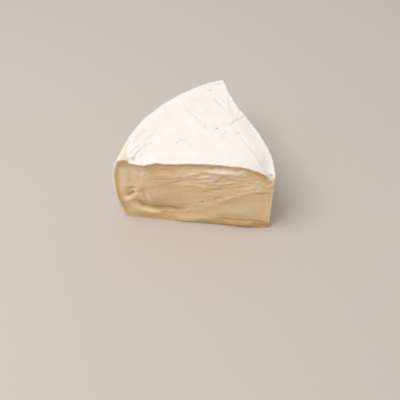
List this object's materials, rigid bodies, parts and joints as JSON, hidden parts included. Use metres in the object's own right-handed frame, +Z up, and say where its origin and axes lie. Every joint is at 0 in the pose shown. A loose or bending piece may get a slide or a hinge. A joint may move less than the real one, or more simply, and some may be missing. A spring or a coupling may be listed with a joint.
{
  "type": "camembert wedge",
  "caption": "Wedge of soft white-rind cheese, cut from the middle of its wheel to the rounded rim, with a pale beige cut face that bulges and tears a little.",
  "frame": {"origin": "middle of the bounding box on the underside that the wedge rests on", "axes": "+X along the front cut from the rim towards the nose, -Y out of the front cut, +Z up through the top rind"},
  "size_m": [0.1106, 0.102, 0.0606],
  "materials": {
    "white_rind": "matt, soft and slightly uneven, like dry white mould"
  },
  "bodies": {
    "root": {"cheese_wedge": "white_rind"}
  },
  "joints": []
}
